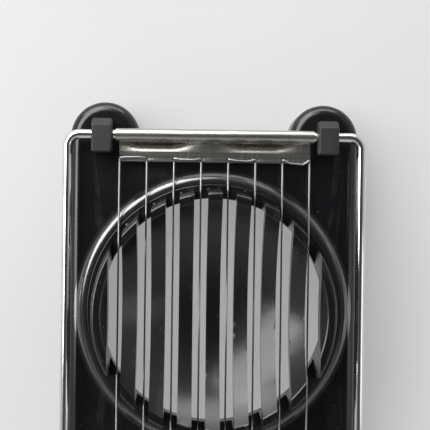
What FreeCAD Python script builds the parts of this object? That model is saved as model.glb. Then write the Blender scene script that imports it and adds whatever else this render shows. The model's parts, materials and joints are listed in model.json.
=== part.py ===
"""Egg slicer: a ribbed round cup on a black base, and a hinged wire frame that cuts through it.

Millimetres. X runs across, Y runs back towards the hinge and Z points up. The origin is under the
middle of the cup, on the surface that the base stands on. The frame is modelled closed.
"""

import FreeCAD
import Part
import Sketcher
import math
import os

SIZES = {
    # cup and base
    "cup_mouth_radius": 30.0,
    "cup_rise": 17.5,
    "rim_width": 2.4,
    "rim_round": 0.95,
    "cup_draft": 1.2,
    "shell_wall": 1.4,
    "rib_depth": 3.5,
    "floor_drop": 1.0,
    "floor_flat": 1.5,
    "slot_width": 3.7,
    "slot_edge": 1.5,
    "slot_overrun": 0.7,
    "slot_shortfall": 0.4,
    "notch_sink": 0.2,
    "foot_margin": 0.6,
    "foot_rise": 0.4,
    "foot_round": 0.3,
    "plinth_rise": 1.2,
    "plinth_inset": 2.3,
    "plinth_shoulder": 2.2,
    "deck_margin": 5.3,
    "skirt_height": 12.5,
    "skirt_wall": 2.0,
    "deck_thickness": 2.5,
    "deck_round": 3.0,
    "ear_radius": 9.6,
    "bay_inset": 4.0,
    "bay_round": 2.0,
    # hinge
    "axis_span": 96.0,
    "axis_rise": 4.5,
    "post_width": 5.5,
    "post_margin": 6.6,
    "post_front": 5.0,
    "post_back": 4.3,
    "post_round": 0.8,
    "cap_rise": 4.5,
    "cap_fall": 0.3,
    "cap_ridge": 2.4,
    "cap_back_rise": 2.2,
    "cap_round": 0.5,
    "peg_radius": 0.75,
    "peg_length": 3.0,
    "peg_gap": 0.05,
    "peg_inset": 1.6,
    "bearing_gap": 0.05,
    "saddle_gap": 0.10,
    # wire frame
    "rod_radius": 1.35,
    "leg_offset": 0.1,
    "rod_bend": 3.2,
    "rod_end_gap": 1.0,
    "sheet": 0.4,
    "hem_gap": 0.03,
    "hem_overhang": 0.9,
    "hem_slit": 0.5,
    "web_reach": 7.2,
    "web_gap": 1.0,
    "strip_gap": 0.9,
    "wire_count": 8,
    "wire_pitch": 7.5,
    "wire_radius": 0.25,
    "wire_seat": 0.04,
    "wire_bend": 0.4,
    "wire_inset": 1.0,
    "wire_hole_radius": 0.45,
}

doc = FreeCAD.newDocument("egg_slicer")
sheet = doc.addObject("Spreadsheet::Sheet", "sizes")
for row, (alias, size) in enumerate(SIZES.items(), start=1):
    sheet.set(f"A{row}", alias)
    sheet.set(f"B{row}", str(size))
    sheet.setAlias(f"B{row}", alias)
doc.recompute()


def size_of(alias):
    """Expression for one cell of the sheet."""
    return f"sizes.{alias}"


def number(expression):
    """Value of an expression, in millimetres."""
    return float(sheet.evalExpression(expression))


# Expressions that several pieces share, each worked out from the sheet's cells.
AXIS_Y = "sizes.axis_span / 2"
AXIS_Z = "(sizes.skirt_height + sizes.axis_rise)"
DECK_UNDER = "(sizes.skirt_height - sizes.deck_thickness)"
PLINTH_Z = "(sizes.skirt_height + sizes.plinth_rise)"
FOOT_Z = f"({PLINTH_Z} + sizes.foot_rise)"
RIM_Z = "(sizes.skirt_height + sizes.cup_rise)"
FLOOR_Z = f"({AXIS_Z} - sizes.floor_drop)"
WIRE_SPREAD = "(sizes.wire_pitch * (sizes.wire_count - 1) / 2)"
SLOT_SPREAD = f"({WIRE_SPREAD} + sizes.slot_width / 2 + sizes.slot_edge)"
MOUTH_RADIUS = f"max(sizes.cup_mouth_radius; {SLOT_SPREAD})"
DRUM_TOP = f"({MOUTH_RADIUS} + sizes.rim_width)"
DRUM_FOOT = f"({DRUM_TOP} + sizes.cup_draft)"
DRUM_INSIDE = f"({DRUM_TOP} - sizes.shell_wall)"
SLOT_REACH = f"({DRUM_FOOT} + sizes.slot_overrun)"
FOOT_RADIUS = f"({SLOT_REACH} + sizes.foot_margin)"
WEB_REACH = f"min(sizes.web_reach; {AXIS_Y} - {DRUM_FOOT} - sizes.web_gap)"
HEM_HALF = f"({WIRE_SPREAD} + sizes.wire_seat + sizes.hem_overhang)"
POST_INNER = f"({HEM_HALF} + sizes.strip_gap)"
POST_OUTER = f"({POST_INNER} + sizes.post_width)"
BASE_HALF = f"max({FOOT_RADIUS} + sizes.deck_margin; {POST_OUTER} + sizes.post_margin)"
EAR_X = f"({BASE_HALF} - sizes.ear_radius)"
BORE_RADIUS = "(sizes.rod_radius + sizes.bearing_gap)"
LEG_X = f"({BASE_HALF} + sizes.leg_offset)"
HEM_INNER = "(sizes.rod_radius + sizes.hem_gap)"
HEM_OUTER = f"({HEM_INNER} + sizes.sheet)"
WEB_UNDER = f"({AXIS_Z} - {HEM_OUTER})"
WEB_TOP = f"({AXIS_Z} - {HEM_INNER})"
WIRE_OFFSET = "(sizes.wire_radius + sizes.wire_seat)"


# --- Sketching ------------------------------------------------------------------------------

def new_body(label):
    """Empty PartDesign body with a label of its own."""
    body = doc.addObject("PartDesign::Body", label)
    body.Label = label
    return body


def new_sketch(body, name, role, height=None):
    """Sketch on one of the body's own origin planes, or at a height above that plane."""
    sketch = body.newObject("Sketcher::SketchObject", name)
    plane = next(item for item in body.Origin.OriginFeatures if item.Role == role)
    sketch.AttachmentSupport = [(plane, "")]
    sketch.MapMode = "FlatFace"
    if height:
        sketch.setExpression("AttachmentOffset.Base.z", height)
    return sketch


def pin(sketch, geometry, point, x, y):
    """Hold one point of a sketch at two expressions, measured from the sketch's origin."""
    for kind, axis, expression in (("DistanceX", -2, x), ("DistanceY", -1, y)):
        distance = number(expression)
        if abs(distance) < 1e-9:
            sketch.addConstraint(Sketcher.Constraint("PointOnObject", geometry, point, axis))
            continue
        ends = (-1, 1, geometry, point) if distance > 0 else (geometry, point, -1, 1)
        text = expression if distance > 0 else f"-({expression})"
        index = sketch.addConstraint(Sketcher.Constraint(kind, *ends, abs(distance)))
        sketch.setExpression(f"Constraints[{index}]", text)


def add_circle(sketch, x, y, radius):
    """Circle whose centre and radius are expressions."""
    centre = FreeCAD.Vector(number(x), number(y), 0)
    circle = Part.Circle(centre, FreeCAD.Vector(0, 0, 1), number(radius))
    index = sketch.addGeometry(circle)
    pin(sketch, index, 3, x, y)
    limit = sketch.addConstraint(Sketcher.Constraint("Radius", index, number(radius)))
    sketch.setExpression(f"Constraints[{limit}]", radius)


def arc_middle(start, end, radius, turn):
    """Point half way along the short arc from start to end; turn is 1 for anticlockwise."""
    chord = end - start
    sagitta = radius - math.sqrt(max(radius * radius - chord.Length ** 2 / 4, 0.0))
    side = FreeCAD.Vector(chord.y, -chord.x, 0).normalize()
    return (start + end) * 0.5 + side * sagitta * turn


def add_path(sketch, corners, closed=True):
    """Lines and arcs through corners (x, y, arc), where arc is None or (radius, turn) of the next edge."""
    places = [FreeCAD.Vector(number(x), number(y), 0) for x, y, arc in corners]
    first = sketch.GeometryCount
    count = len(corners) if closed else len(corners) - 1
    for step in range(count):
        start = places[step]
        end = places[(step + 1) % len(places)]
        arc = corners[step][2]
        if arc is None:
            sketch.addGeometry(Part.LineSegment(start, end))
            continue
        radius, turn = arc
        middle = arc_middle(start, end, number(radius), turn)
        index = sketch.addGeometry(Part.Arc(start, middle, end))
        limit = sketch.addConstraint(Sketcher.Constraint("Radius", index, number(radius)))
        sketch.setExpression(f"Constraints[{limit}]", radius)
    for step in range(count):
        leaves = leaving_point(corners[step][2])
        arrives = 3 - leaving_point(corners[step - 1][2])
        if step or closed:
            before = first + (step - 1) % count
            link = Sketcher.Constraint("Coincident", before, arrives, first + step, leaves)
            sketch.addConstraint(link)
        pin(sketch, first + step, leaves, *corners[step][:2])
    if not closed:
        arrives = 3 - leaving_point(corners[count - 1][2])
        pin(sketch, first + count - 1, arrives, *corners[count][:2])


def leaving_point(arc):
    """Sketch arcs are stored anticlockwise, so a clockwise edge leaves from its second point."""
    return 2 if arc and arc[1] < 0 else 1


def add_rectangle(sketch, left, right, low, high):
    """Upright rectangle whose four sides are expressions."""
    add_path(sketch, [(left, low, None), (right, low, None), (right, high, None), (left, high, None)])


# --- Features -------------------------------------------------------------------------------

def volume_of(body):
    """Volume of the body so far."""
    return body.Shape.Volume if not body.Shape.isNull() else 0.0


def extrude(body, kind, name, sketch, length, reverse=False, both_ways=False):
    """Pad or pocket of a sketch; it has to add or remove material."""
    before = volume_of(body)
    feature = body.newObject(f"PartDesign::{kind}", name)
    feature.Profile = sketch
    feature.SideType = "Symmetric" if both_ways else "One side"
    feature.Reversed = reverse
    feature.setExpression("Length", length)
    doc.recompute()
    change = volume_of(body) - before
    if change * (1 if kind == "Pad" else -1) < 1e-6:
        raise RuntimeError(f"{name} changes nothing")
    return feature


def revolve(body, kind, name, sketch):
    """Full turn of a sketch about its own upright axis."""
    feature = body.newObject(f"PartDesign::{kind}", name)
    feature.Profile = sketch
    feature.ReferenceAxis = (sketch, ["V_Axis"])
    feature.Angle = 360
    doc.recompute()
    return feature


def round_edges(body, name, radius, chosen):
    """Fillet of the edges for which chosen(edge) holds."""
    base = body.Tip
    edges = [f"Edge{i}" for i, edge in enumerate(base.Shape.Edges, start=1) if chosen(edge)]
    if not edges:
        raise RuntimeError(f"{name} finds no edge")
    feature = body.newObject("PartDesign::Fillet", name)
    feature.Base = (base, edges)
    feature.setExpression("Radius", radius)
    doc.recompute()
    return feature


def near(value, expression):
    """Whether a coordinate equals an expression."""
    return abs(value - number(expression)) < 1e-3


def flat_at(edge, expression):
    """Whether a whole edge lies at one height."""
    return near(edge.BoundBox.ZMin, expression) and near(edge.BoundBox.ZMax, expression)


def upright(edge):
    """Whether an edge is a straight line along Z."""
    if edge.Degenerated or edge.Curve.TypeId != "Part::GeomLine":
        return False
    return abs(edge.tangentAt(edge.FirstParameter).z) > 0.999


def round_at(edge, height, radius):
    """Whether an edge is a circle about the cup's axis with this height and radius."""
    if edge.Degenerated or not flat_at(edge, height) or edge.Curve.TypeId != "Part::GeomCircle":
        return False
    return abs(edge.Curve.Center.x) + abs(edge.Curve.Center.y) < 1e-3 and near(edge.Curve.Radius, radius)


CORNERS = [(across, along) for across in (-1, 1) for along in (-1, 1)]


# --- Base -----------------------------------------------------------------------------------

def base_block(body):
    """Skirt with a round ear at each corner and a shallow bay between the ears at both ends."""
    plan = new_sketch(body, "skirt_plan", "XY_Plane")
    add_rectangle(plan, f"-({BASE_HALF})", BASE_HALF, f"-({AXIS_Y})", AXIS_Y)
    extrude(body, "Pad", "skirt", plan, size_of("skirt_height"))
    ears = new_sketch(body, "ear_plan", "XY_Plane")
    for across, along in CORNERS:
        add_circle(ears, f"{across} * {EAR_X}", f"{along} * {AXIS_Y}", size_of("ear_radius"))
    extrude(body, "Pad", "ears", ears, size_of("skirt_height"))
    bays = new_sketch(body, "bay_plan", "XY_Plane")
    side = f"({EAR_X} - sizes.ear_radius)"
    edge = f"({AXIS_Y} - sizes.bay_inset)"
    add_rectangle(bays, f"-{side}", side, edge, f"{edge} + sizes.ear_radius")
    add_rectangle(bays, f"-{side}", side, f"-({edge} + sizes.ear_radius)", f"-{edge}")
    extrude(body, "Pocket", "bays", bays, size_of("skirt_height"), reverse=True)
    round_edges(body, "bay_corners", size_of("bay_round"), lambda e: upright(e) and is_bay_corner(e))
    round_edges(body, "deck_edge", size_of("deck_round"), lambda e: flat_at(e, size_of("skirt_height")))


def is_bay_corner(edge):
    """Whether an upright edge is an inner corner of a bay."""
    point = edge.Vertexes[0].Point
    across = near(abs(point.x), f"{EAR_X} - sizes.ear_radius")
    return across and near(abs(point.y), f"{AXIS_Y} - sizes.bay_inset")


def base_hollow(body):
    """Open underside, one wall in from the outline."""
    inner = f"({BASE_HALF} - sizes.skirt_wall)"
    end = f"({AXIS_Y} - sizes.bay_inset - sizes.skirt_wall)"
    hollow = new_sketch(body, "hollow_plan", "XY_Plane")
    add_rectangle(hollow, f"-{inner}", inner, f"-{end}", end)
    extrude(body, "Pocket", "hollow", hollow, DECK_UNDER, reverse=True)
    wells = new_sketch(body, "ear_well_plan", "XY_Plane")
    for across, along in CORNERS:
        add_circle(wells, f"{across} * {EAR_X}", f"{along} * {AXIS_Y}", "sizes.ear_radius - sizes.skirt_wall")
    extrude(body, "Pocket", "ear_wells", wells, DECK_UNDER, reverse=True)


def base_cup(body):
    """Drafted drum on a stepped round plinth, dished from above and hollow below."""
    plinth_edge = f"({BASE_HALF} - sizes.plinth_inset)"
    shoulder = ("(sizes.plinth_shoulder ^ 2 + sizes.plinth_rise ^ 2) / (2 * sizes.plinth_rise)", 1)
    quarter = ("sizes.foot_round", 1)
    profile = new_sketch(body, "cup_profile", "XZ_Plane")
    add_path(profile, [
        ("0", DECK_UNDER, None),
        (plinth_edge, DECK_UNDER, None),
        (plinth_edge, size_of("skirt_height"), shoulder),
        (f"{plinth_edge} - sizes.plinth_shoulder", PLINTH_Z, None),
        (FOOT_RADIUS, PLINTH_Z, None),
        (FOOT_RADIUS, f"{FOOT_Z} - sizes.foot_round", quarter),
        (f"{FOOT_RADIUS} - sizes.foot_round", FOOT_Z, None),
        (DRUM_FOOT, FOOT_Z, None),
        (DRUM_TOP, RIM_Z, None),
        ("0", RIM_Z, None),
    ])
    revolve(body, "Revolution", "cup_drum", profile)

    depth = f"({RIM_Z} - {FLOOR_Z})"
    bowl_radius = f"(({MOUTH_RADIUS} ^ 2 + {depth} ^ 2) / (2 * {depth}))"
    centre_z = f"({FLOOR_Z} + {bowl_radius})"
    flat = size_of("floor_flat")
    rim_drop = f"({centre_z} - {RIM_Z} + sizes.rim_round)"
    rim_reach = f"({bowl_radius} + sizes.rim_round)"
    rim_x = f"sqrt({rim_reach} ^ 2 - {rim_drop} ^ 2)"
    dish = new_sketch(body, "bowl_profile", "XZ_Plane")
    add_path(dish, [
        ("0", f"{centre_z} - sqrt({bowl_radius} ^ 2 - {flat} ^ 2)", None),
        (flat, f"{centre_z} - sqrt({bowl_radius} ^ 2 - {flat} ^ 2)", (bowl_radius, 1)),
        (f"{bowl_radius} * {rim_x} / {rim_reach}",
         f"{centre_z} - {bowl_radius} * {rim_drop} / {rim_reach}", ("sizes.rim_round", -1)),
        (rim_x, RIM_Z, None),
        (rim_x, f"{RIM_Z} + sizes.rim_width", None),
        ("0", f"{RIM_Z} + sizes.rim_width", None),
    ])
    revolve(body, "Groove", "bowl", dish)

    shell_radius = f"({bowl_radius} + sizes.rib_depth)"
    under = new_sketch(body, "shell_profile", "XZ_Plane")
    add_path(under, [
        ("0", "0", None),
        (DRUM_INSIDE, "0", None),
        (DRUM_INSIDE, f"{centre_z} - sqrt({shell_radius} ^ 2 - {DRUM_INSIDE} ^ 2)", (shell_radius, -1)),
        (flat, f"{centre_z} - sqrt({shell_radius} ^ 2 - {flat} ^ 2)", None),
        ("0", f"{centre_z} - sqrt({shell_radius} ^ 2 - {flat} ^ 2)", None),
    ])
    revolve(body, "Groove", "cup_underside", under)
    round_edges(body, "rim", size_of("rim_round"), lambda e: round_at(e, RIM_Z, DRUM_TOP))


def base_slots(body):
    """Slots for the cutting wires, notched through the wall and open below the middle of the cup."""
    notch_floor = f"({FOOT_Z} - sizes.notch_sink)"
    notches = slot_sketch(body, "notch_plan", notch_floor, SLOT_REACH)
    extrude(body, "Pocket", "notches", notches, f"{RIM_Z} - {notch_floor}", reverse=True)
    slots = slot_sketch(body, "slot_plan", "0", f"({DRUM_INSIDE} - sizes.slot_shortfall)")
    extrude(body, "Pocket", "slots", slots, notch_floor, reverse=True)


def slot_sketch(body, name, height, reach):
    """Row of slots, one for each cutting wire, all ending on one circle about the cup's axis."""
    plan = new_sketch(body, name, "XY_Plane", height)
    for place in range(int(number("sizes.wire_count"))):
        middle = f"({place} * sizes.wire_pitch - {WIRE_SPREAD})"
        left = f"({middle} - sizes.slot_width / 2)"
        right = f"({middle} + sizes.slot_width / 2)"
        left_end = f"sqrt({reach} ^ 2 - {left} ^ 2)"
        right_end = f"sqrt({reach} ^ 2 - {right} ^ 2)"
        add_path(plan, [
            (left, f"-{left_end}", (reach, 1)),
            (right, f"-{right_end}", None),
            (right, right_end, (reach, 1)),
            (left, left_end, None),
        ])
    return plan


def base_posts(body):
    """Two hinge posts and two front posts, each with a half-round seat for the rod in its top."""
    plan = new_sketch(body, "post_plan", "XY_Plane", DECK_UNDER)
    near_side = f"({AXIS_Y} - sizes.post_front)"
    far_side = f"({AXIS_Y} + sizes.post_back)"
    for across, along in CORNERS:
        sides = sorted((f"{across} * {POST_INNER}", f"{across} * {POST_OUTER}"), key=number)
        ends = sorted((f"{along} * {near_side}", f"{along} * {far_side}"), key=number)
        add_rectangle(plan, *sides, *ends)
    extrude(body, "Pad", "posts", plan, f"{AXIS_Z} - {DECK_UNDER}")
    round_edges(body, "post_corners", size_of("post_round"), lambda e: (
        upright(e) and near(e.BoundBox.ZMax, AXIS_Z)))
    seats = new_sketch(body, "seat_profile", "YZ_Plane")
    add_circle(seats, AXIS_Y, AXIS_Z, BORE_RADIUS)
    add_circle(seats, f"-({AXIS_Y})", AXIS_Z, "sizes.rod_radius + sizes.saddle_gap")
    extrude(body, "Pocket", "seats", seats, f"2 * {BASE_HALF}", both_ways=True)
    holes = new_sketch(body, "peg_hole_plan", "XY_Plane", AXIS_Z)
    for across in (-1, 1):
        add_pegs(holes, across, "sizes.peg_radius + sizes.peg_gap")
    extrude(body, "Pocket", "peg_holes", holes, "sizes.peg_length + sizes.peg_gap")


def add_pegs(sketch, across, radius):
    """Peg in front of the bore and peg behind it, in the middle of a post's width."""
    middle = f"{across} * ({POST_INNER} + sizes.post_width / 2)"
    add_circle(sketch, middle, f"{AXIS_Y} - sizes.post_front + sizes.peg_inset", radius)
    add_circle(sketch, middle, f"{AXIS_Y} + sizes.post_back - sizes.peg_inset", radius)


def slicer_base():
    """Base, cup, ears and posts: one moulding."""
    body = new_body("slicer_base")
    base_block(body)
    base_hollow(body)
    base_cup(body)
    base_slots(body)
    base_posts(body)
    return body


# --- Hinge caps -----------------------------------------------------------------------------

def hinge_cap(label, across):
    """Block that closes a hinge post over the rod, pegged into the post's top."""
    body = new_body(label)
    side = sorted((f"{across} * {POST_INNER}", f"{across} * {POST_OUTER}"), key=number)[0]
    front = f"({AXIS_Y} - sizes.post_front)"
    back = f"({AXIS_Y} + sizes.post_back)"
    profile = new_sketch(body, "cap_profile", "YZ_Plane", side)
    add_path(profile, [
        (front, AXIS_Z, None),
        (back, AXIS_Z, None),
        (back, f"{AXIS_Z} + sizes.cap_back_rise", None),
        (f"{AXIS_Y} + sizes.cap_ridge", f"{AXIS_Z} + sizes.cap_rise", None),
        (front, f"{AXIS_Z} + sizes.cap_rise - sizes.cap_fall", None),
    ])
    extrude(body, "Pad", "cap_block", profile, size_of("post_width"))
    round_edges(body, "cap_corners", size_of("post_round"), upright)
    round_edges(body, "cap_top", size_of("cap_round"), lambda e: (
        e.BoundBox.ZMin > number(f"{AXIS_Z} + sizes.cap_back_rise") - 1e-3))
    bore = new_sketch(body, "cap_bore_profile", "YZ_Plane")
    add_circle(bore, AXIS_Y, AXIS_Z, BORE_RADIUS)
    extrude(body, "Pocket", "cap_bore", bore, f"2 * {BASE_HALF}", both_ways=True)
    pegs = new_sketch(body, "peg_plan", "XY_Plane", AXIS_Z)
    add_pegs(pegs, across, size_of("peg_radius"))
    extrude(body, "Pad", "pegs", pegs, size_of("peg_length"), reverse=True)
    return body


# --- Wire frame -----------------------------------------------------------------------------

def frame_rod():
    """One rod bent round all four corners, its two ends turned in along the hinge axis."""
    body = new_body("frame_rod")
    end = "(sizes.rod_end_gap / 2)"
    straight_x = f"({LEG_X} - sizes.rod_bend)"
    straight_y = f"({AXIS_Y} - sizes.rod_bend)"
    bend = ("sizes.rod_bend", 1)
    path = new_sketch(body, "rod_path", "XY_Plane", AXIS_Z)
    add_path(path, [
        (f"-{end}", AXIS_Y, None),
        (f"-{straight_x}", AXIS_Y, bend),
        (f"-{LEG_X}", straight_y, None),
        (f"-{LEG_X}", f"-{straight_y}", bend),
        (f"-{straight_x}", f"-({AXIS_Y})", None),
        (straight_x, f"-({AXIS_Y})", bend),
        (LEG_X, f"-{straight_y}", None),
        (LEG_X, straight_y, bend),
        (straight_x, AXIS_Y, None),
        (end, AXIS_Y, None),
    ], closed=False)
    section = new_sketch(body, "rod_section", "YZ_Plane", f"-{end}")
    add_circle(section, AXIS_Y, AXIS_Z, size_of("rod_radius"))
    doc.recompute()
    rod = body.newObject("PartDesign::AdditivePipe", "rod")
    rod.Profile = section
    rod.Spine = (path, [f"Edge{i + 1}" for i in range(path.GeometryCount)])
    doc.recompute()
    return body


def strip(label, along):
    """Sheet strip rolled round the rod at one end of the frame, its web reaching towards the cup."""
    body = new_body(label)
    axis = f"{along} * {AXIS_Y}"
    hem = new_sketch(body, "hem_profile", "YZ_Plane")
    add_circle(hem, axis, AXIS_Z, HEM_OUTER)
    add_circle(hem, axis, AXIS_Z, HEM_INNER)
    extrude(body, "Pad", "hem", hem, f"2 * {HEM_HALF}", both_ways=True)
    slit = new_sketch(body, "slit_profile", "YZ_Plane")
    cup_side = f"{along} * ({AXIS_Y} - {HEM_OUTER} - sizes.hem_slit)"
    add_rectangle(slit, *sorted((axis, cup_side), key=number), WEB_TOP, f"{WEB_TOP} + sizes.hem_slit")
    extrude(body, "Pocket", "slit", slit, f"2 * {HEM_HALF} + 1", both_ways=True)
    web = new_sketch(body, "web_profile", "YZ_Plane")
    reach = f"{along} * ({AXIS_Y} - {WEB_REACH})"
    add_rectangle(web, *sorted((axis, reach), key=number), WEB_UNDER, WEB_TOP)
    extrude(body, "Pad", "web", web, f"2 * ({WIRE_SPREAD} + sizes.wire_seat)", both_ways=True)
    holes = new_sketch(body, "wire_hole_plan", "XY_Plane", WEB_UNDER)
    for place in range(int(number("sizes.wire_count"))):
        across = f"({place} * sizes.wire_pitch - {WIRE_SPREAD})"
        along_hole = f"{along} * ({AXIS_Y} - {WEB_REACH} + sizes.wire_inset)"
        add_circle(holes, across, along_hole, size_of("wire_hole_radius"))
    extrude(body, "Pocket", "wire_holes", holes, size_of("sheet"), reverse=True)
    return body


def bent_path(points, radius):
    """Wire of straight runs through the points, joined by tangent arcs of one radius."""
    edges = []
    start = points[0]
    for before, corner, after in zip(points, points[1:], points[2:]):
        inward = (corner - before).normalize()
        outward = (after - corner).normalize()
        turn = inward.getAngle(outward)
        setback = radius * math.tan(turn / 2)
        arc_start = corner - inward * setback
        arc_end = corner + outward * setback
        bisector = (outward - inward).normalize()
        middle = corner + bisector * (radius / math.cos(turn / 2) - radius)
        edges.append(Part.LineSegment(start, arc_start).toShape())
        edges.append(Part.Arc(arc_start, middle, arc_end).toShape())
        start = arc_end
    edges.append(Part.LineSegment(start, points[-1]).toShape())
    return Part.Wire(edges)


def wire_pair(order):
    """Hairpin of thin wire: two spans under the webs, joined across the top of the hinge strip."""
    pitch = number("sizes.wire_pitch")
    left = order * 2 * pitch - number(WIRE_SPREAD)
    right = left + pitch
    low = number(f"{WEB_UNDER} - {WIRE_OFFSET}")
    high = number(f"{WEB_TOP} + {WIRE_OFFSET}")
    hole = number(f"{AXIS_Y} - {WEB_REACH} + sizes.wire_inset")
    tail = number(f"{AXIS_Y} - {HEM_OUTER}")
    route = [
        (left, -tail, high),
        (left, -hole, high),
        (left, -hole, low),
        (left, hole, low),
        (left, hole, high),
        (right, hole, high),
        (right, hole, low),
        (right, -hole, low),
        (right, -hole, high),
        (right, -tail, high),
    ]
    path = bent_path([FreeCAD.Vector(*point) for point in route], number("sizes.wire_bend"))
    section = Part.Circle(FreeCAD.Vector(*route[0]), FreeCAD.Vector(0, 1, 0), number("sizes.wire_radius"))
    profile = Part.Wire([section.toShape()])
    wire = doc.addObject("Part::Feature", f"wire_pair_{order + 1}")
    wire.Label = f"wire_pair_{order + 1}"
    wire.Shape = path.makePipeShell([profile], True, False)
    wire.Placement = FreeCAD.Placement()
    expected = math.pi * number("sizes.wire_radius") ** 2 * path.Length
    if abs(wire.Shape.Volume - expected) > 0.02 * expected:
        raise RuntimeError(f"{wire.Label} has the wrong volume")
    return wire


# --- Whole slicer ---------------------------------------------------------------------------

pieces = [
    slicer_base(),
    hinge_cap("hinge_cap_left", -1),
    hinge_cap("hinge_cap_right", 1),
    frame_rod(),
    strip("hinge_strip", 1),
    strip("front_strip", -1),
]
pieces += [wire_pair(order) for order in range(int(number("sizes.wire_count / 2")))]
doc.recompute()

for item in doc.Objects:
    if "Invalid" in item.State or "Error" in item.State:
        raise RuntimeError(f"{item.Label} failed")
os.makedirs("parts", exist_ok=True)
for piece in pieces:
    shape = piece.Shape
    if shape.isNull() or not shape.isValid() or len(shape.Solids) != 1:
        raise RuntimeError(f"{piece.Label} is not one valid solid")
    print(piece.Label, round(shape.Volume, 1), shape.BoundBox)
for piece in pieces:
    piece.Shape.exportStep(f"parts/{piece.Label}.step")
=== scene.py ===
"""Egg slicer: looks of the ribbed black base, grey hinge caps, chrome rod, polished strips and wires.

Metres, in the same frame as the construction: X across, Y back towards the hinge, Z up.
"""

import bmesh
import bpy
import json
import math
from mathutils import Matrix, Vector


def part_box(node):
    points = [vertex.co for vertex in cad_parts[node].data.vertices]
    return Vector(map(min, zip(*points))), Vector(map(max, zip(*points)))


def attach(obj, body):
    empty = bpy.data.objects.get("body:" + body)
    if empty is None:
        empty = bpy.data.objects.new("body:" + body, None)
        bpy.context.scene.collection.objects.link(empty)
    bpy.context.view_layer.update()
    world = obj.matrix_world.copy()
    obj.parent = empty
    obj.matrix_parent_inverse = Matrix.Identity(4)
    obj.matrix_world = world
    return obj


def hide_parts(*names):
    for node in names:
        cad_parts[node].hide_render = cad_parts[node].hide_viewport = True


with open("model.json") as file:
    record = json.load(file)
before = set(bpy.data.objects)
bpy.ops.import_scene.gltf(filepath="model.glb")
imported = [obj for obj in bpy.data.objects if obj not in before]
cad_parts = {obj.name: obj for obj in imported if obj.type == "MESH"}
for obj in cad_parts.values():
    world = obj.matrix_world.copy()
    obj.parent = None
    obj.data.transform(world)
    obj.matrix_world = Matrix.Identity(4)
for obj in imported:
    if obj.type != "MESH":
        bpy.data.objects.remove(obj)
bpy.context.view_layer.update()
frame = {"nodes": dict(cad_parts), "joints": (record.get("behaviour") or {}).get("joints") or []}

MM = 0.001

# Point on the hinge's axis. Both strips are rolled round the rod at this distance from the middle.
HINGE_AXIS = Vector(frame["joints"][0]["pos_m"])

# Camera: where it stands, what it looks at, and which way is up in its view. Lens and sensor
# are in millimetres, as cameras count them.
EYE = Vector((-7.2, 26.2, 300.0)) * MM
TARGET = Vector((0.2, 26.35, 17.0)) * MM
VIEW_UP = Vector((-0.013, 1.0, 0.0))
LENS = 86.4
SENSOR_WIDTH = 36.0
NEAREST_SEEN = 0.01

FLOOR_HALF = 1.5

# Small rounds, in a few steps each, on edges that turn by more than ROUNDED_ANGLE. What still
# turns by more than SHARP_ANGLE afterwards is shaded crisp.
BASE_ROUND = 0.28 * MM
CAP_ROUND = 0.12 * MM
STRIP_ROUND = 0.10 * MM
ROUND_STEPS = 2
ROUNDED_ANGLE = math.radians(34.0)
SHARP_ANGLE = math.radians(32.0)

# Corners closer than this are one, and facets that turn by less than this are one flat face.
SAME_POINT = 1e-6
FLAT_ANGLE = math.radians(0.02)

# How far the large faces rule the shading of the small ones beside them.
LARGE_FACE_WEIGHT = 60

# Band on the plinth round the cup that wiping has polished.
RING_INNER = 35.2 * MM
RING_OUTER = 38.6 * MM

# Cutting wires, and how far each slack cross-over leans forward and lifts, from wire 1 to wire 4.
WIRE_RADIUS = 0.25 * MM
WIRE_BEND = 0.4 * MM
WIRE_WAVER = 0.05 * MM
WAVERS_PER_METRE = 160.0
BEND_STEPS = 5
WIRE_SIDES = 12
WIRE_SLACK = [(-0.25 * MM, 0.1 * MM), (0.35 * MM, 0.2 * MM), (0.55 * MM, 0.1 * MM), (1.25 * MM, 0.15 * MM)]


# --- Node helpers ---------------------------------------------------------------------------

def join(tree, source, target):
    """Link from one socket to another."""
    tree.links.new(source, target)


def feed(tree, source, socket):
    """Join a socket to another, or set it to a plain number."""
    if isinstance(source, (int, float)):
        socket.default_value = source
    else:
        join(tree, source, socket)


def fill_ramp(node, stops):
    """Colour ramp with the given (place, colour) stops."""
    ramp = node.color_ramp
    while len(ramp.elements) > 1:
        ramp.elements.remove(ramp.elements[-1])
    for order, (place, colour) in enumerate(stops):
        stop = ramp.elements[0] if order == 0 else ramp.elements.new(place)
        stop.position = place
        stop.color = (*colour, 1.0)


def math_node(tree, operation, first, second=None, clamp=False):
    """Math node fed by sockets or plain numbers; returns its output."""
    node = tree.nodes.new("ShaderNodeMath")
    node.operation = operation
    node.use_clamp = clamp
    feed(tree, first, node.inputs[0])
    if second is not None:
        feed(tree, second, node.inputs[1])
    return node.outputs[0]


def object_coordinates(tree, scale=(1, 1, 1), turn=(0, 0, 0)):
    """Object coordinates through a Mapping node."""
    coordinates = tree.nodes.new("ShaderNodeTexCoord")
    mapping = tree.nodes.new("ShaderNodeMapping")
    mapping.inputs["Scale"].default_value = scale
    mapping.inputs["Rotation"].default_value = turn
    join(tree, coordinates.outputs["Object"], mapping.inputs["Vector"])
    return mapping.outputs[0]


def noise(tree, vector, scale, detail=2.0, rough=0.5):
    """Noise texture; scale is a number or a socket."""
    node = tree.nodes.new("ShaderNodeTexNoise")
    node.inputs["Detail"].default_value = detail
    node.inputs["Roughness"].default_value = rough
    feed(tree, scale, node.inputs["Scale"])
    join(tree, vector, node.inputs["Vector"])
    return node.outputs["Fac"]


def stretch_range(tree, value, low, high, out_low=0.0, out_high=1.0):
    """Map Range node, which holds its output between the two ends."""
    node = tree.nodes.new("ShaderNodeMapRange")
    join(tree, value, node.inputs["Value"])
    ends = {"From Min": low, "From Max": high, "To Min": out_low, "To Max": out_high}
    for label, number in ends.items():
        node.inputs[label].default_value = number
    return node.outputs[0]


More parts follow.
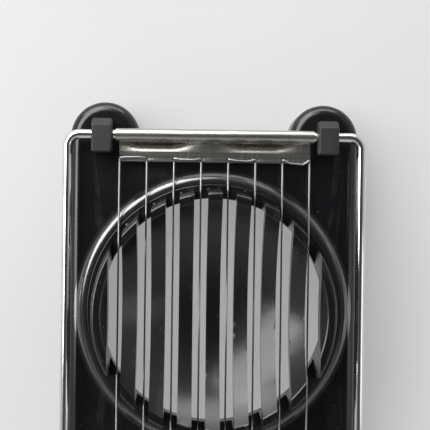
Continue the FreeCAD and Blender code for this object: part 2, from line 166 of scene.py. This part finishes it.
def mix_colours(tree, share, first, second):
    """Mix node between two colours or sockets; returns its colour."""
    node = tree.nodes.new("ShaderNodeMix")
    node.data_type = "RGBA"
    join(tree, share, node.inputs["Factor"])
    for label, source in (("A", first), ("B", second)):
        socket = next(item for item in node.inputs if item.name == label and item.type == "RGBA")
        if isinstance(source, tuple):
            socket.default_value = (*source, 1.0)
        else:
            join(tree, source, socket)
    return next(item for item in node.outputs if item.type == "RGBA")


def add_bump(tree, shader, height, strength, distance):
    """Bump node into the shader's normal."""
    bump = tree.nodes.new("ShaderNodeBump")
    bump.inputs["Strength"].default_value = strength
    bump.inputs["Distance"].default_value = distance
    join(tree, height, bump.inputs["Height"])
    join(tree, bump.outputs[0], shader.inputs["Normal"])


def new_material(name):
    """Material with a Principled shader, and its tree."""
    material = bpy.data.materials.new(name)
    material.use_nodes = True
    tree = material.node_tree
    return material, tree, tree.nodes["Principled BSDF"]


# --- Shared finishes ------------------------------------------------------------------------

def new_group(name, inputs, output):
    """Shader node group with float inputs (name, default) and one named float output."""
    tree = bpy.data.node_groups.new(name, "ShaderNodeTree")
    for label, default in inputs:
        socket = tree.interface.new_socket(label, in_out="INPUT", socket_type="NodeSocketFloat")
        socket.default_value = default
    tree.interface.new_socket(output, in_out="OUTPUT", socket_type="NodeSocketFloat")
    return tree, tree.nodes.new("NodeGroupInput"), tree.nodes.new("NodeGroupOutput")


def put_out_mask(tree, entry, out, mask):
    """Scale a mask by the group's Amount and put it out."""
    join(tree, math_node(tree, "MULTIPLY", mask, entry.outputs["Amount"]), out.inputs["Mask"])


def use_group(tree, group, **values):
    """Group node with its inputs set by name; underscores stand for spaces."""
    node = tree.nodes.new("ShaderNodeGroup")
    node.node_tree = group
    for label, number in values.items():
        node.inputs[label.replace("_", " ")].default_value = number
    return node.outputs[0]


def hairline_group():
    """Fine hairlines in three crossing directions, as handling leaves on moulded plastic and metal."""
    inputs = [("Lines per Metre", 1500.0), ("Amount", 0.5)]
    tree, entry, out = new_group("hairlines", inputs, "Mask")
    directions = (0.55, -0.75, 2.2)
    drawn_out = (1.0, 0.02, 0.35)
    masks = []
    for direction in directions:
        vector = object_coordinates(tree, scale=drawn_out, turn=(0.0, 0.0, direction))
        lines = noise(tree, vector, entry.outputs["Lines per Metre"], detail=3.0, rough=0.65)
        masks.append(stretch_range(tree, lines, low=0.60, high=0.78))
    every = masks[0]
    for mask in masks[1:]:
        every = math_node(tree, "MAXIMUM", every, mask)
    patch = noise(tree, object_coordinates(tree), scale=45.0)
    faded = math_node(tree, "MULTIPLY", every, stretch_range(tree, patch, low=0.35, high=0.65))
    put_out_mask(tree, entry, out, faded)
    return tree


def grain_group():
    """Fine moulded grain over a slow unevenness of the surface."""
    inputs = [("Grains per Metre", 2500.0), ("Waves per Metre", 60.0), ("Wave Share", 0.5)]
    tree, entry, out = new_group("moulded_grain", inputs, "Height")
    vector = object_coordinates(tree)
    grain = noise(tree, vector, entry.outputs["Grains per Metre"], detail=2.0)
    waves = noise(tree, vector, entry.outputs["Waves per Metre"], detail=1.0)
    share = math_node(tree, "MULTIPLY", waves, entry.outputs["Wave Share"])
    join(tree, math_node(tree, "ADD", grain, share), out.inputs["Height"])
    return tree


def dust_group():
    """Scattered small specks of dust and lint."""
    inputs = [("Specks per Metre", 400.0), ("Amount", 0.3)]
    tree, entry, out = new_group("dust_specks", inputs, "Mask")
    cells = tree.nodes.new("ShaderNodeTexVoronoi")
    join(tree, object_coordinates(tree), cells.inputs["Vector"])
    join(tree, entry.outputs["Specks per Metre"], cells.inputs["Scale"])
    near = stretch_range(tree, cells.outputs["Distance"], 0.05, 0.14, out_low=1.0, out_high=0.0)
    sparse = noise(tree, object_coordinates(tree), scale=140.0)
    kept = math_node(tree, "MULTIPLY", near, stretch_range(tree, sparse, low=0.55, high=0.68))
    put_out_mask(tree, entry, out, kept)
    return tree


def edge_wear_and_highlight_group():
    """Lighter convex edges: rubbed wear together with a painted edge highlight."""
    inputs = [("Start", 0.52), ("Amount", 0.5)]
    tree, entry, out = new_group("edge_wear_and_highlight", inputs, "Mask")
    steepness = 14.0
    geometry = tree.nodes.new("ShaderNodeNewGeometry")
    over = math_node(tree, "SUBTRACT", geometry.outputs["Pointiness"], entry.outputs["Start"])
    edge = math_node(tree, "MULTIPLY", over, steepness, clamp=True)
    patch = noise(tree, object_coordinates(tree), scale=220.0, detail=3.0)
    worn_and_highlit = math_node(tree, "MULTIPLY", edge, stretch_range(tree, patch, low=0.35, high=0.7))
    put_out_mask(tree, entry, out, worn_and_highlit)
    return tree


def polished_ring_group():
    """Band round the cup's axis, polished bright by wiping."""
    inputs = [("Inner Radius", RING_INNER), ("Outer Radius", RING_OUTER), ("Amount", 1.0)]
    tree, entry, out = new_group("polished_ring", inputs, "Mask")
    flat = object_coordinates(tree, scale=(1.0, 1.0, 0.0))
    reach = tree.nodes.new("ShaderNodeVectorMath")
    reach.operation = "LENGTH"
    join(tree, flat, reach.inputs[0])
    outside = math_node(tree, "GREATER_THAN", reach.outputs["Value"], entry.outputs["Inner Radius"])
    inside = math_node(tree, "LESS_THAN", reach.outputs["Value"], entry.outputs["Outer Radius"])
    put_out_mask(tree, entry, out, math_node(tree, "MULTIPLY", outside, inside))
    return tree


HAIRLINES = hairline_group()
GRAIN = grain_group()
DUST = dust_group()
EDGE_WEAR_AND_HIGHLIGHT = edge_wear_and_highlight_group()
POLISHED_RING = polished_ring_group()


# --- Materials ------------------------------------------------------------------------------

def roughen(tree, shader, gloss, lines, share):
    """Roughness from an even gloss, with a share of the hairlines on top."""
    rough = math_node(tree, "ADD", gloss, math_node(tree, "MULTIPLY", lines, share))
    join(tree, rough, shader.inputs["Roughness"])


def floor_material():
    """Pale card, shown brighter to the camera and in reflections than it lights the slicer."""
    shade = (0.29, 0.286, 0.29)
    light = (0.32, 0.316, 0.32)
    glow_colour = (1.0, 0.985, 0.985)
    glow_strength = 0.33
    material, tree, shader = new_material("pale_floor")
    shader.inputs["Roughness"].default_value = 0.9
    shader.inputs["Specular IOR Level"].default_value = 0.1
    tint = noise(tree, object_coordinates(tree), scale=9.0)
    colour = mix_colours(tree, stretch_range(tree, tint, low=0.3, high=0.7), shade, light)
    join(tree, colour, shader.inputs["Base Color"])
    path = tree.nodes.new("ShaderNodeLightPath")
    seen = math_node(tree, "MAXIMUM", path.outputs["Is Camera Ray"], path.outputs["Is Glossy Ray"])
    glow = math_node(tree, "MULTIPLY", seen, glow_strength)
    shader.inputs["Emission Color"].default_value = (*glow_colour, 1.0)
    join(tree, glow, shader.inputs["Emission Strength"])
    return material


def black_plastic():
    """Black moulding, between satin and gloss, with fine hairlines and a little dust."""
    deep = (0.0036, 0.0036, 0.0046)
    soft = (0.0052, 0.0050, 0.0060)
    scratched = (0.030, 0.030, 0.032)
    # Lighter edge colour: rubbed wear together with a painted edge highlight.
    rubbed_highlight = (0.040, 0.040, 0.043)
    dusty = (0.20, 0.20, 0.20)
    material, tree, shader = new_material("black_plastic")
    lines = use_group(tree, HAIRLINES, Lines_per_Metre=1700.0, Amount=0.30)
    dust = use_group(tree, DUST, Specks_per_Metre=420.0, Amount=0.28)
    wear_and_highlight = use_group(tree, EDGE_WEAR_AND_HIGHLIGHT, Start=0.53, Amount=0.35)
    cloud = noise(tree, object_coordinates(tree), scale=70.0, detail=3.0)
    body = mix_colours(tree, cloud, deep, soft)
    lined = mix_colours(tree, lines, body, scratched)
    worn_and_highlit = mix_colours(tree, wear_and_highlight, lined, rubbed_highlight)
    join(tree, mix_colours(tree, dust, worn_and_highlit, dusty), shader.inputs["Base Color"])
    gloss = stretch_range(tree, cloud, 0.3, 0.7, out_low=0.19, out_high=0.25)
    roughen(tree, shader, gloss, lines, share=0.25)
    shader.inputs["Specular IOR Level"].default_value = 0.5
    ring = use_group(tree, POLISHED_RING, Inner_Radius=RING_INNER, Outer_Radius=RING_OUTER, Amount=1.0)
    join(tree, ring, shader.inputs["Coat Weight"])
    shader.inputs["Coat Roughness"].default_value = 0.22
    shader.inputs["Coat IOR"].default_value = 2.0
    height = use_group(tree, GRAIN, Grains_per_Metre=1500.0, Waves_per_Metre=55.0, Wave_Share=6.0)
    add_bump(tree, shader, height, strength=0.10, distance=0.10 * MM)
    return material


def grey_plastic():
    """Dark grey hinge caps with a matt moulded grain."""
    deep = (0.008, 0.008, 0.010)
    soft = (0.014, 0.014, 0.016)
    # Lighter edge colour: rubbed wear together with a painted highlight on the ridges and edges.
    rubbed_highlight = (0.13, 0.13, 0.135)
    dusty = (0.25, 0.25, 0.25)
    material, tree, shader = new_material("grey_plastic")
    wear_and_highlight = use_group(tree, EDGE_WEAR_AND_HIGHLIGHT, Start=0.52, Amount=0.6)
    dust = use_group(tree, DUST, Specks_per_Metre=600.0, Amount=0.25)
    cloud = noise(tree, object_coordinates(tree), scale=260.0, detail=4.0)
    body = mix_colours(tree, cloud, deep, soft)
    worn_and_highlit = mix_colours(tree, wear_and_highlight, body, rubbed_highlight)
    join(tree, mix_colours(tree, dust, worn_and_highlit, dusty), shader.inputs["Base Color"])
    gloss = stretch_range(tree, cloud, 0.3, 0.7, out_low=0.48, out_high=0.62)
    join(tree, gloss, shader.inputs["Roughness"])
    height = use_group(tree, GRAIN, Grains_per_Metre=3200.0, Waves_per_Metre=150.0, Wave_Share=1.0)
    add_bump(tree, shader, height, strength=0.5, distance=0.10 * MM)
    return material


def drawing_marks(tree, along):
    """Very fine marks left along one axis by drawing or rolling."""
    marks_per_metre = 2600.0
    drawn_out = [1.0, 1.0, 1.0]
    drawn_out["XYZ".index(along)] = 0.015
    vector = object_coordinates(tree, scale=drawn_out)
    return noise(tree, vector, marks_per_metre, detail=3.0, rough=0.6)


def metal_gloss(tree, shader, marks, lines, smoothest, roughest):
    """Bare metal, its shine varied by the drawing marks and the hairlines."""
    shader.inputs["Metallic"].default_value = 1.0
    gloss = stretch_range(tree, marks, 0.25, 0.75, out_low=smoothest, out_high=roughest)
    roughen(tree, shader, gloss, lines, share=0.2)


def drawn_metal(name, dark, light, smoothest, roughest, scratches):
    """Metal drawn along Y: fine marks along it vary its shine."""
    scratched = tuple(level * 0.8 for level in dark)
    material, tree, shader = new_material(name)
    marks = drawing_marks(tree, "Y")
    lines = use_group(tree, HAIRLINES, Lines_per_Metre=1300.0, Amount=scratches)
    cloud = noise(tree, object_coordinates(tree), scale=90.0, detail=2.0)
    body = mix_colours(tree, cloud, dark, light)
    join(tree, mix_colours(tree, lines, body, scratched), shader.inputs["Base Color"])
    metal_gloss(tree, shader, marks, lines, smoothest, roughest)
    add_bump(tree, shader, marks, strength=0.10, distance=0.03 * MM)
    return material


def rolled_metal():
    """Polished sheet, dished unevenly along the line where the flat leaves the roll, with a painted warm
    highlight tint on the dished band.
    """
    plain = (0.55, 0.54, 0.50)
    # Warm tint painted on the dished band where it catches the light: painted highlight colour.
    warm_highlight_tint = (0.80, 0.68, 0.55)
    scratched = (0.44, 0.43, 0.41)
    dish_start = HINGE_AXIS.y - 4.6 * MM
    dish_end = HINGE_AXIS.y - 1.9 * MM
    roll_foot = HINGE_AXIS.y - 1.7 * MM
    swell_middle = -16.0 * MM
    swell_pitch = 28.0 * MM
    dish_curve = 1.5
    highlight_tint_share = 0.9
    ripple_share = 0.006
    material, tree, shader = new_material("polished_strip")
    marks = drawing_marks(tree, "X")
    lines = use_group(tree, HAIRLINES, Lines_per_Metre=1300.0, Amount=0.5)
    places = tree.nodes.new("ShaderNodeSeparateXYZ")
    join(tree, object_coordinates(tree), places.inputs[0])
    reach = math_node(tree, "ABSOLUTE", places.outputs["Y"])
    near_roll = stretch_range(tree, reach, dish_start, dish_end)
    flat_side = stretch_range(tree, reach, dish_end, roll_foot, out_low=1.0, out_high=0.0)
    along = math_node(tree, "SUBTRACT", places.outputs["X"], swell_middle)
    wave = math_node(tree, "COSINE", math_node(tree, "MULTIPLY", along, math.tau / swell_pitch))
    swell = stretch_range(tree, wave, low=-1.0, high=0.5)
    dish = math_node(tree, "MULTIPLY", math_node(tree, "POWER", near_roll, dish_curve), flat_side)
    fall = math_node(tree, "MULTIPLY", dish, swell)
    # The dished band is painted warmer: painted highlight colour.
    body = mix_colours(tree, math_node(tree, "MULTIPLY", fall, highlight_tint_share), plain, warm_highlight_tint)
    join(tree, mix_colours(tree, lines, body, scratched), shader.inputs["Base Color"])
    metal_gloss(tree, shader, marks, lines, smoothest=0.20, roughest=0.30)
    ripple = math_node(tree, "MULTIPLY", marks, ripple_share)
    add_bump(tree, shader, math_node(tree, "SUBTRACT", ripple, fall), strength=1.0, distance=1.35 * MM)
    return material


BLACK = black_plastic()
GREY = grey_plastic()
CHROME = drawn_metal("chrome_rod", (0.74, 0.74, 0.75), (0.84, 0.84, 0.85), 0.05, 0.13, scratches=0.25)
STRIP = rolled_metal()
WIRE = drawn_metal("steel_wire", (0.44, 0.44, 0.44), (0.56, 0.56, 0.56), 0.30, 0.42, scratches=0.0)


# --- Mesh helpers ---------------------------------------------------------------------------

def show(item):
    """Put an object into the scene."""
    bpy.context.scene.collection.objects.link(item)


def plain_mesh(item, name):
    """The object's evaluated geometry as a new plain mesh object; the source is removed."""
    bpy.context.view_layer.update()
    graph = bpy.context.evaluated_depsgraph_get()
    mesh = bpy.data.meshes.new_from_object(item.evaluated_get(graph))
    bpy.data.objects.remove(item)
    mesh.name = name
    result = bpy.data.objects.new(name, mesh)
    show(result)
    return result


def joined_copy(node, name, material):
    """Copy of a CAD piece in its finish, with the facets of each flat face joined up."""
    mesh = frame["nodes"][node].data.copy()
    mesh.materials.clear()
    mesh.materials.append(material)
    bm = bmesh.new()
    bm.from_mesh(mesh)
    bmesh.ops.remove_doubles(bm, verts=bm.verts, dist=SAME_POINT)
    bmesh.ops.dissolve_limit(bm, angle_limit=FLAT_ANGLE, verts=bm.verts, edges=bm.edges)
    bm.to_mesh(mesh)
    bm.free()
    item = bpy.data.objects.new(name, mesh)
    show(item)
    return item


def round_edges(item, width):
    """Small round on every sharp edge."""
    bevel = item.modifiers.new("edge_round", "BEVEL")
    bevel.width = width
    bevel.segments = ROUND_STEPS
    bevel.limit_method = "ANGLE"
    bevel.angle_limit = ROUNDED_ANGLE


def smooth_evenly(item):
    """Smooth shading, crisp where the surface really turns and level on the large flat faces."""
    item.data.shade_smooth()
    item.data.set_sharp_from_angle(angle=SHARP_ANGLE)
    even = item.modifiers.new("even_normals", "WEIGHTED_NORMAL")
    even.keep_sharp = True
    even.mode = "FACE_AREA_WITH_ANGLE"
    even.weight = LARGE_FACE_WEIGHT


def keep_in_box(item, node):
    """Bring any point that the rounding pushed out back onto the CAD piece's box."""
    low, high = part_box(node)
    for vertex in item.data.vertices:
        vertex.co = [min(max(value, least), most) for value, least, most in zip(vertex.co, low, high)]


def softened_copy(node, name, material, width):
    """Copy of a CAD piece with its flat faces joined up and its sharp edges given a small round."""
    joined = joined_copy(node, name, material)
    round_edges(joined, width)
    rounded = plain_mesh(joined, name + "_rounded")
    smooth_evenly(rounded)
    finished = plain_mesh(rounded, name)
    keep_in_box(finished, node)
    return finished


def place_piece(item, body, slot, *nodes):
    """Replace and ride in one go."""
    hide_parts(*nodes)
    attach(item, body)


def paint_node(node, material):
    """Give a CAD piece its finish."""
    item = frame["nodes"][node]
    item.data.materials.clear()
    item.data.materials.append(material)


def soften_piece(node, name, body, material, slot, width):
    """Stand-in for a CAD piece with softly rounded edges."""
    place_piece(softened_copy(node, name, material, width), body, slot, node)


# --- Cutting wires --------------------------------------------------------------------------

def wire_tree():
    """Geometry nodes: round the corners of a route, give it a slight waver and wrap it in wire."""
    tree = bpy.data.node_groups.new("cutting_wire", "GeometryNodeTree")
    tree.interface.new_socket("Geometry", in_out="INPUT", socket_type="NodeSocketGeometry")
    for label, default in (("Wire Radius", WIRE_RADIUS), ("Bend Radius", WIRE_BEND), ("Waver", WIRE_WAVER)):
        socket = tree.interface.new_socket(label, in_out="INPUT", socket_type="NodeSocketFloat")
        socket.default_value = default
    tree.interface.new_socket("Material", in_out="INPUT", socket_type="NodeSocketMaterial")
    tree.interface.new_socket("Geometry", in_out="OUTPUT", socket_type="NodeSocketGeometry")
    entry = tree.nodes.new("NodeGroupInput")
    out = tree.nodes.new("NodeGroupOutput")
    fillet = tree.nodes.new("GeometryNodeFilletCurve")
    fillet.mode = "POLY"
    fillet.inputs["Count"].default_value = BEND_STEPS
    place = tree.nodes.new("GeometryNodeSetPosition")
    texture = tree.nodes.new("ShaderNodeTexNoise")
    texture.inputs["Scale"].default_value = WAVERS_PER_METRE
    centred = tree.nodes.new("ShaderNodeVectorMath")
    centred.operation = "SUBTRACT"
    centred.inputs[1].default_value = (0.5, 0.5, 0.5)
    scaled = tree.nodes.new("ShaderNodeVectorMath")
    scaled.operation = "SCALE"
    section = tree.nodes.new("GeometryNodeCurvePrimitiveCircle")
    section.inputs["Resolution"].default_value = WIRE_SIDES
    wrap = tree.nodes.new("GeometryNodeCurveToMesh")
    wrap.inputs["Fill Caps"].default_value = True
    realize = tree.nodes.new("GeometryNodeRealizeInstances")
    smooth = tree.nodes.new("GeometryNodeSetShadeSmooth")
    paint = tree.nodes.new("GeometryNodeSetMaterial")
    links = [
        (entry.outputs["Geometry"], fillet.inputs["Curve"]),
        (entry.outputs["Bend Radius"], fillet.inputs["Radius"]),
        (fillet.outputs[0], place.inputs["Geometry"]),
        (texture.outputs["Color"], centred.inputs[0]),
        (centred.outputs[0], scaled.inputs[0]),
        (entry.outputs["Waver"], scaled.inputs["Scale"]),
        (scaled.outputs[0], place.inputs["Offset"]),
        (place.outputs[0], wrap.inputs["Curve"]),
        (entry.outputs["Wire Radius"], section.inputs["Radius"]),
        (section.outputs[0], wrap.inputs["Profile Curve"]),
        (wrap.outputs[0], realize.inputs[0]),
        (realize.outputs[0], smooth.inputs[0]),
        (smooth.outputs[0], paint.inputs["Geometry"]),
        (entry.outputs["Material"], paint.inputs["Material"]),
        (paint.outputs[0], out.inputs[0]),
    ]
    for source, target in links:
        join(tree, source, target)
    return tree


def wire_route(node, lean, lift):
    """Points along a hairpin wire, from its front left end round to its front right end."""
    low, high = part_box(node)
    left = low.x + WIRE_RADIUS
    right = high.x - WIRE_RADIUS
    back = high.y - WIRE_RADIUS
    front = -back
    under = low.z + WIRE_RADIUS
    over = high.z - WIRE_RADIUS
    middle = (left + right) / 2
    quarter = (right - left) / 4
    first_lean = 0.75 * lean
    first_lift = 0.6 * lift
    run = [
        (left, low.y, over),
        (left, front, over),
        (left, front, under),
        (left, back, under),
        (left, back, over),
    ]
    across = [
        (middle - quarter, back - first_lean, over + first_lift),
        (middle + quarter, back - lean, over + lift),
    ]
    return run + across + [(right, y, z) for x, y, z in reversed(run)]


def route_curve(name, points):
    """Curve object of straight steps through the points."""
    curve = bpy.data.curves.new(name, "CURVE")
    curve.dimensions = "3D"
    spline = curve.splines.new("POLY")
    spline.points.add(len(points) - 1)
    for point, place in zip(spline.points, points):
        point.co = (*place, 1.0)
    item = bpy.data.objects.new(name, curve)
    show(item)
    return item


def cutting_wire(order, tree, lean, lift):
    """Hairpin wire: up through the hinge strip, across its top with a slack bow, and down again."""
    node = f"wire_pair_{order}"
    route = route_curve(node + "_route", wire_route(node, lean, lift))
    modifier = route.modifiers.new("wire", "NODES")
    modifier.node_group = tree
    values = {"Wire Radius": WIRE_RADIUS, "Bend Radius": WIRE_BEND, "Waver": WIRE_WAVER, "Material": WIRE}
    for socket in tree.interface.items_tree:
        if socket.in_out == "INPUT" and socket.name in values:
            modifier[socket.identifier] = values[socket.name]
    wire = plain_mesh(route, f"cutting_wire_{order}")
    place_piece(wire, "frame", "steel_wire", node)


# --- Camera, floor and light ----------------------------------------------------------------

def add_camera():
    """Camera above the slicer, looking down on the cup and the hinge."""
    camera = bpy.data.cameras.new("camera")
    camera.lens = LENS
    camera.sensor_width = SENSOR_WIDTH
    camera.clip_start = NEAREST_SEEN
    item = bpy.data.objects.new("camera", camera)
    show(item)
    back = (EYE - TARGET).normalized()
    right = VIEW_UP.cross(back).normalized()
    up = back.cross(right)
    turn = Matrix((right, up, back)).transposed()
    item.matrix_world = Matrix.Translation(EYE) @ turn.to_4x4()
    bpy.context.scene.camera = item


def add_softbox(name, place, aim, size, power, colour=(1.0, 1.0, 1.0)):
    """Rectangular lamp of so many watts at a place, facing a point."""
    lamp = bpy.data.lights.new(name, "AREA")
    lamp.shape = "RECTANGLE"
    lamp.size, lamp.size_y = size
    lamp.energy = power
    lamp.color = colour
    item = bpy.data.objects.new(name, lamp)
    show(item)
    place = Vector(place)
    item.rotation_euler = (Vector(aim) - place).to_track_quat("-Z", "Y").to_euler()
    item.location = place


def add_world():
    """Pale surroundings, brightest in a band above the horizon and darker overhead."""
    strength = 0.8
    blue_lift = 1.01
    stops = [(0.0, 0.55), (0.35, 0.75), (0.72, 0.45), (0.93, 0.10), (1.0, 0.06)]
    world = bpy.data.worlds.new("studio")
    bpy.context.scene.world = world
    world.use_nodes = True
    tree = world.node_tree
    tree.nodes.clear()
    coordinates = tree.nodes.new("ShaderNodeTexCoord")
    split = tree.nodes.new("ShaderNodeSeparateXYZ")
    band = tree.nodes.new("ShaderNodeValToRGB")
    fill_ramp(band, [(place, (level, level, level * blue_lift)) for place, level in stops])
    light = tree.nodes.new("ShaderNodeBackground")
    light.inputs["Strength"].default_value = strength
    out = tree.nodes.new("ShaderNodeOutputWorld")
    join(tree, coordinates.outputs["Generated"], split.inputs[0])
    join(tree, split.outputs["Z"], band.inputs["Fac"])
    join(tree, band.outputs["Color"], light.inputs["Color"])
    join(tree, light.outputs[0], out.inputs["Surface"])


def add_floor():
    """Plain pale floor that the slicer stands on."""
    mesh = bpy.data.meshes.new("floor")
    around = [(-1, -1), (1, -1), (1, 1), (-1, 1)]
    mesh.from_pydata([(x * FLOOR_HALF, y * FLOOR_HALF, 0) for x, y in around], [], [(0, 1, 2, 3)])
    floor = bpy.data.objects.new("floor", mesh)
    show(floor)
    mesh.materials.append(floor_material())


# --- Make the slicer ------------------------------------------------------------------------

add_camera()
add_world()
add_floor()
add_softbox("key_softbox", place=(-0.33, 0.27, 0.42), aim=(0.0, 0.02, 0.0), size=(0.82, 0.34), power=6.0)
add_softbox("rear_softbox", place=(-0.09, 0.58, 0.21), aim=(0.0, 0.02, 0.0), size=(0.86, 0.22), power=2.9)
add_softbox(
    "side_softbox", place=(0.45, -0.06, 0.30), aim=(0.0, 0.0, 0.0), size=(0.14, 0.30), power=0.12,
    colour=(1.0, 0.98, 0.95))

soften_piece("slicer_base", "base_moulding", "base", BLACK, "black_plastic", BASE_ROUND)
for side in ("left", "right"):
    soften_piece(f"hinge_cap_{side}", f"{side}_cap", "base", GREY, "grey_plastic", CAP_ROUND)
paint_node("frame_rod", CHROME)
for end in ("hinge", "front"):
    soften_piece(f"{end}_strip", f"{end}_sheet", "frame", STRIP, "polished_strip", STRIP_ROUND)
wires = wire_tree()
for order, (lean, lift) in enumerate(WIRE_SLACK, start=1):
    cutting_wire(order, wires, lean, lift)

bpy.context.scene.view_settings.view_transform = "Standard"
